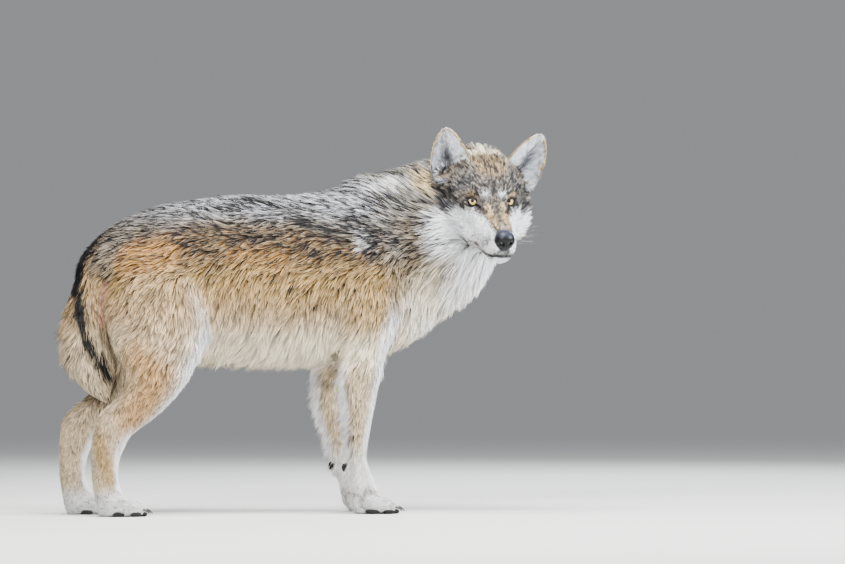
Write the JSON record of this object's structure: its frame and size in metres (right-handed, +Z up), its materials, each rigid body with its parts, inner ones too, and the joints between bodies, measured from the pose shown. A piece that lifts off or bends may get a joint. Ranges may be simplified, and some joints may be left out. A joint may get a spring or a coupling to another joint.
{
  "type": "timber wolf",
  "caption": "Life-size standing wolf in its winter coat, head turned to its right and tail hanging; a still museum model parted into head, ears, neck, trunk, legs and tail.",
  "frame": {"origin": "on the floor, at the middle of the wolf's box in length and width", "axes": "+X where the body faces, +Y to the wolf's left, +Z up; the head is turned to -Y"},
  "size_m": [1.06, 0.3982, 0.839],
  "materials": {
    "coat": "grizzled tan and grey winter fur",
    "pale_coat": "short pale fur",
    "eye": "yellow iris under a wet cornea",
    "nose": "bare moist black skin",
    "claw": "dark horn",
    "pad": "bare dark pad"
  },
  "bodies": {
    "root": {"head": "pale_coat", "left_dewclaw": "claw", "left_ear": "coat", "left_eye": "eye", "left_fore_claw_inner": "claw", "left_fore_claw_inner_middle": "claw", "left_fore_claw_outer": "claw", "left_fore_claw_outer_middle": "claw", "left_fore_paw": "pale_coat", "left_forearm": "pale_coat", "left_hind_claw_inner": "claw", "left_hind_claw_inner_middle": "claw", "left_hind_claw_outer": "claw", "left_hind_claw_outer_middle": "claw", "left_hind_paw": "pale_coat", "left_hock": "pale_coat", "left_shank": "pale_coat", "left_thigh": "coat", "left_wrist_pad": "pad", "neck": "coat", "nose": "nose", "right_dewclaw": "claw", "right_ear": "coat", "right_eye": "eye", "right_fore_claw_inner": "claw", "right_fore_claw_inner_middle": "claw", "right_fore_claw_outer": "claw", "right_fore_claw_outer_middle": "claw", "right_fore_paw": "pale_coat", "right_forearm": "pale_coat", "right_hind_claw_inner": "claw", "right_hind_claw_inner_middle": "claw", "right_hind_claw_outer": "claw", "right_hind_claw_outer_middle": "claw", "right_hind_paw": "pale_coat", "right_hock": "pale_coat", "right_shank": "pale_coat", "right_thigh": "coat", "right_wrist_pad": "pad", "tail": "coat", "trunk": "coat"}
  },
  "joints": []
}
